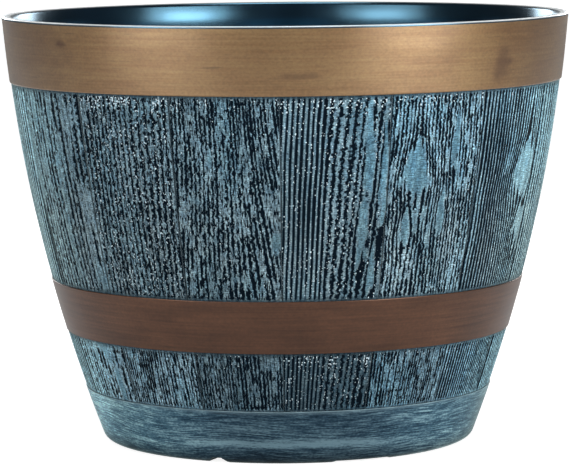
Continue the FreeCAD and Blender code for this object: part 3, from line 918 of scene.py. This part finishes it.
    materials = [stave_material(), base_material(), inside_material()]
    shell = maker.build("barrel_shell_grained", materials, SHELL_SHARP_ANGLE)
    # Join rings beside the hoops and the base ring take the margin's slate, darkened as painted shade
    margin_rings = (foot[1], seat[0], seat[1], inside[0])
    margin_values = {"grain_width": -1.0, "grain_tone": SHADED_MARGIN_SLATE}
    for name, sample in low[2].items():
        values = np.zeros((maker.count, *sample.shape[2:]))
        for start, _, fields in (low, high):
            flat = fields[name].reshape(-1, *sample.shape[2:])
            values[start:start + len(flat)] = flat
        if name in margin_values:
            for ring in margin_rings:
                values[ring:ring + COARSE_COLUMNS] = margin_values[name]
        store(shell.data, name, values)
    # Pale edges, partly worn paint and partly painted highlight
    wear_and_highlight_levels = np.zeros(maker.count)
    wear_and_highlight_levels[foot[1] - 2 * COARSE_COLUMNS:foot[1] - COARSE_COLUMNS] = EDGE_WEAR_AND_HIGHLIGHT_BELOW
    wear_and_highlight_levels[foot[1] - COARSE_COLUMNS:foot[1] + COARSE_COLUMNS] = EDGE_WEAR_AND_HIGHLIGHT
    lip_start = inside[0] + len(wall_heights) * COARSE_COLUMNS
    for row, level in enumerate(LIP_WEAR_AND_HIGHLIGHT):
        first = lip_start + row * COARSE_COLUMNS
        wear_and_highlight_levels[first:first + COARSE_COLUMNS] = level
    store(shell.data, "edge_wear_and_highlight", wear_and_highlight_levels)
    points = np.concatenate(maker.points)
    # Painted side light on the base ring: lighter towards the left and right of the front, with a mint tint
    across = points[:, 0] / np.maximum(np.hypot(points[:, 0], points[:, 1]), hair)
    left = SIDE_LIGHT_LEFT * step(0.15, 0.95, -across) + SIDE_LIGHT_FAR_LEFT * step(0.82, 1.0, -across)
    painted_side_light = (left + SIDE_LIGHT_RIGHT * step(0.3, 0.95, across))[:, None]
    side_tint = 1.0 + np.minimum(0.5 * painted_side_light, 1.0) * SIDE_LIGHT_TINT
    store(shell.data, "painted_side_light", (SIDE_LIGHT_BASE + painted_side_light) * side_tint)
    azimuth = np.arctan2(points[:, 0], -points[:, 1])
    store(shell.data, "rest_wear", step(-0.6, 0.8, np.cos(3.0 * azimuth)))
    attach(shell, "planter")
    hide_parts("barrel_shell")


def build_hoop(node, material, smudges_and_shade, seed):
    """A hoop as a dense ring measured from its CAD node, with the slight waviness of a moulded band.

    Each dark smudge, or broad patch of painted shade, is an azimuth in degrees, a share of the height, a half
    width, a half height and a depth.
    """
    tree = bvh(node)
    bottom, top = [corner.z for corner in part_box(node)]
    inset = MM * np.array([0.02, 0.1, 0.25, 0.5, 0.9])
    middle_heights = np.linspace(bottom + 2.0 * MM, top - 2.0 * MM, 24)
    face_heights = np.concatenate([bottom + inset, middle_heights, top - inset[::-1]])
    back_heights = np.linspace(top - 0.3 * MM, bottom + 0.3 * MM, 6)
    heights = np.concatenate([face_heights, back_heights])
    radii = np.array(
        [outer_radius(tree, z) for z in face_heights] + [inner_radius(tree, z) for z in back_heights]
    )
    angle = azimuths(COARSE_COLUMNS)
    x, y = np.meshgrid(HOOP_WAVES * angle / FULL_TURN, heights / HOOP_WAVE_HEIGHT)
    facing = np.concatenate([np.ones(len(face_heights)), np.zeros(len(back_heights))])[:, None]
    wave = noise(x % HOOP_WAVES, y, seed) * step(0.0, 2.0, np.minimum(x, HOOP_WAVES - x))
    maker = MeshMaker()
    inward = (SKIN + HOOP_WAVE_DEPTH * wave) * facing
    start = maker.add_points(turned(radii[:, None] - inward, heights, COARSE_COLUMNS))
    faces, across, up = band_faces(start, len(heights), COARSE_COLUMNS, closed=True)
    maker.add_faces(faces, *strip(0.01, 0.99, across, up), 0)
    hoop = maker.build(node + "_copper", [material], HOOP_SHARP_ANGLE)
    smudge_and_shade = np.zeros((len(heights), COARSE_COLUMNS))
    for place, share, half_width, half_height, depth in smudges_and_shade:
        along = ((angle - math.radians(place) + math.pi) % FULL_TURN - math.pi)[None, :] * radii.max()
        above = (heights - bottom - share * (top - bottom))[:, None]
        away = np.hypot(along / (half_width * MM), above / (half_height * MM))
        here = step(1.2, 0.4, away + 0.3 * swing(3.0 * x, 3.0 * y, seed + 1))
        smudge_and_shade = smudge_and_shade + (1.0 - smudge_and_shade) * depth * here
    store(hoop.data, "smudge_and_shade", smudge_and_shade.ravel())
    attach(hoop, "planter")
    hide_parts(node)


build_shell()
build_hoop(
    "upper_hoop",
    copper_material("copper_upper", srgb(134, 96, 53), srgb(158, 124, 77), 1.0),
    [
        (-49.3, 0.72, 6.0, 2.0, 0.9), (3.0, 0.3, 18.0, 1.6, 0.55), (47.5, 0.38, 10.0, 14.0, 0.6),
        # The two that cover the whole height, towards the left and right, are painted shade
        (47.5, 0.42, 11.0, 1.6, 0.45), (-62.0, 0.5, 62.0, 80.0, 0.3), (62.0, 0.5, 30.0, 80.0, 0.25),
        (118.0, 0.55, 9.0, 5.0, 0.4), (-128.0, 0.4, 14.0, 2.0, 0.4), (172.0, 0.6, 6.0, 3.0, 0.4),
    ],
    71,
)
# The lower hoop is the same copper as the upper one, given darker colours as painted shade, as it faces down
build_hoop(
    "lower_hoop",
    copper_material("copper_lower_shaded", srgb(72, 42, 23), srgb(107, 69, 45), 0.38),
    [
        # The one that covers the whole height at the front is painted shade
        (-31.0, 0.6, 10.0, 1.6, 0.25), (-7.0, 0.5, 60.0, 80.0, 0.2),
        (88.0, 0.4, 8.0, 4.0, 0.3), (-150.0, 0.5, 12.0, 2.0, 0.3),
    ],
    72,
)
rubber = rubber_material()
for name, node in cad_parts.items():
    if name.startswith("drain_plug"):
        node.data.materials.clear()
        node.data.materials.append(rubber)


# Studio


WORLD_LEVEL = 0.06
FLOOR_HALF = 6.0
BACKDROP_Y = 6.0
BACKDROP_HALF = 5.5
BACKDROP_HEIGHT = 2.3
LAMP_AIM = 0.15

# Lamps: name, azimuth and elevation in degrees, distance, width and height in metres, watts
SOFT_BOXES = [
    ("left_box", -48.0, 14.0, 1.15, 0.8, 0.6, 3.7),
    ("left_core", -48.0, 14.0, 1.14, 0.42, 0.4, 1.8),
    ("right_box", 48.0, 14.0, 1.15, 0.8, 0.6, 5.7),
    ("right_core", 48.0, 14.0, 1.14, 0.42, 0.4, 3.2),
    ("top_box", 0.0, 80.0, 2.4, 1.6, 1.6, 42.0),
    ("back_left_box", -156.0, 14.0, 1.6, 0.6, 0.5, 6.5),
    ("back_right_box", 156.0, 14.0, 1.6, 0.6, 0.5, 6.5),
]


def stage_material(name, colour, glow_near, glow_far, glossy_share):
    """White paper: lit by the lamps, and white by itself, more so far out, to the camera and mirrored."""
    material, shader = new_material(name)
    fibres = streaks(material, 300.0, 300.0, 2.0)
    link(material, spread(material, fibres, 0.85, 0.95), shader.inputs["Roughness"])
    set_inputs(shader, Base_Color=(colour, colour, colour, 1.0), Specular_IOR_Level=0.1)
    set_inputs(shader, Emission_Color=(1.0, 1.0, 1.0, 1.0))
    path = add_node(material, "ShaderNodeLightPath")
    mirrored = calculate(material, "MULTIPLY", path.outputs["Is Glossy Ray"], glossy_share)
    seen = calculate(material, "MAXIMUM", path.outputs["Is Camera Ray"], mirrored)
    seen = calculate(material, "MAXIMUM", seen, path.outputs["Is Transmission Ray"])
    coordinates = add_node(material, "ShaderNodeTexCoord")
    length = add_node(material, "ShaderNodeVectorMath")
    length.operation = "LENGTH"
    link(material, coordinates.outputs["Object"], length.inputs[0])
    glow = spread(material, length.outputs["Value"], glow_near, glow_far, 0.4, 1.3)
    link(material, calculate(material, "MULTIPLY", seen, glow), shader.inputs["Emission Strength"])
    return material


def stage_sheet(name, corners, material):
    mesh = bpy.data.meshes.new(name)
    mesh.from_pydata(corners, [], [(0, 1, 2, 3)])
    mesh.materials.append(material)
    sheet = bpy.data.objects.new(name, mesh)
    bpy.context.scene.collection.objects.link(sheet)


def soft_box(name, azimuth, elevation, distance, width, height, watts):
    """Area lamp that faces the planter's middle."""
    lamp = bpy.data.lights.new(name, "AREA")
    lamp.shape = "RECTANGLE"
    lamp.size = width
    lamp.size_y = height
    lamp.energy = watts
    box = bpy.data.objects.new(name, lamp)
    box.visible_camera = False
    bpy.context.scene.collection.objects.link(box)
    target = Vector((0.0, 0.0, LAMP_AIM))
    direction = Vector((
        math.sin(math.radians(azimuth)) * math.cos(math.radians(elevation)),
        -math.cos(math.radians(azimuth)) * math.cos(math.radians(elevation)),
        math.sin(math.radians(elevation)),
    ))
    box.location = target + distance * direction
    box.rotation_euler = direction.to_track_quat("Z", "Y").to_euler()


stage_sheet(
    "floor",
    [
        (-FLOOR_HALF, -FLOOR_HALF, 0.0),
        (FLOOR_HALF, -FLOOR_HALF, 0.0),
        (FLOOR_HALF, BACKDROP_Y, 0.0),
        (-FLOOR_HALF, BACKDROP_Y, 0.0),
    ],
    stage_material("floor_paper", 0.42, 0.88, 1.0, 0.16),
)
stage_sheet(
    "backdrop",
    [
        (-BACKDROP_HALF, BACKDROP_Y, 0.0),
        (BACKDROP_HALF, BACKDROP_Y, 0.0),
        (BACKDROP_HALF, BACKDROP_Y, BACKDROP_HEIGHT),
        (-BACKDROP_HALF, BACKDROP_Y, BACKDROP_HEIGHT),
    ],
    stage_material("backdrop_paper", 0.5, 1.0, 1.0, 0.25),
)
for lamp_values in SOFT_BOXES:
    soft_box(*lamp_values)

world = bpy.data.worlds.new("studio")
world.use_nodes = True
world_nodes = world.node_tree.nodes
world_path = world_nodes.new("ShaderNodeLightPath")
world_level = world_nodes.new("ShaderNodeMapRange")
world_level.inputs["To Min"].default_value = WORLD_LEVEL
world_level.inputs["To Max"].default_value = 1.0
world.node_tree.links.new(world_path.outputs["Is Camera Ray"], world_level.inputs["Value"])
world.node_tree.links.new(world_level.outputs["Result"], world_nodes["Background"].inputs["Strength"])
world_nodes["Background"].inputs["Color"].default_value = (1.0, 1.0, 1.0, 1.0)
bpy.context.scene.world = world
bpy.context.scene.view_settings.view_transform = "Standard"

lens = bpy.data.cameras.new("camera")
lens.sensor_fit = "HORIZONTAL"
lens.sensor_width = SENSOR_WIDTH
lens.lens = FOCAL_PIXELS / IMAGE_WIDTH * SENSOR_WIDTH
lens.shift_x = -PRINCIPAL_OFFSET / IMAGE_WIDTH
camera = bpy.data.objects.new("camera", lens)
bpy.context.scene.collection.objects.link(camera)
aim = Matrix.Rotation(math.radians(90.0) - CAMERA_PITCH, 4, "X") @ Matrix.Rotation(CAMERA_ROLL, 4, "Z")
camera.matrix_world = Matrix.Translation(CAMERA_PLACE) @ aim
bpy.context.scene.camera = camera
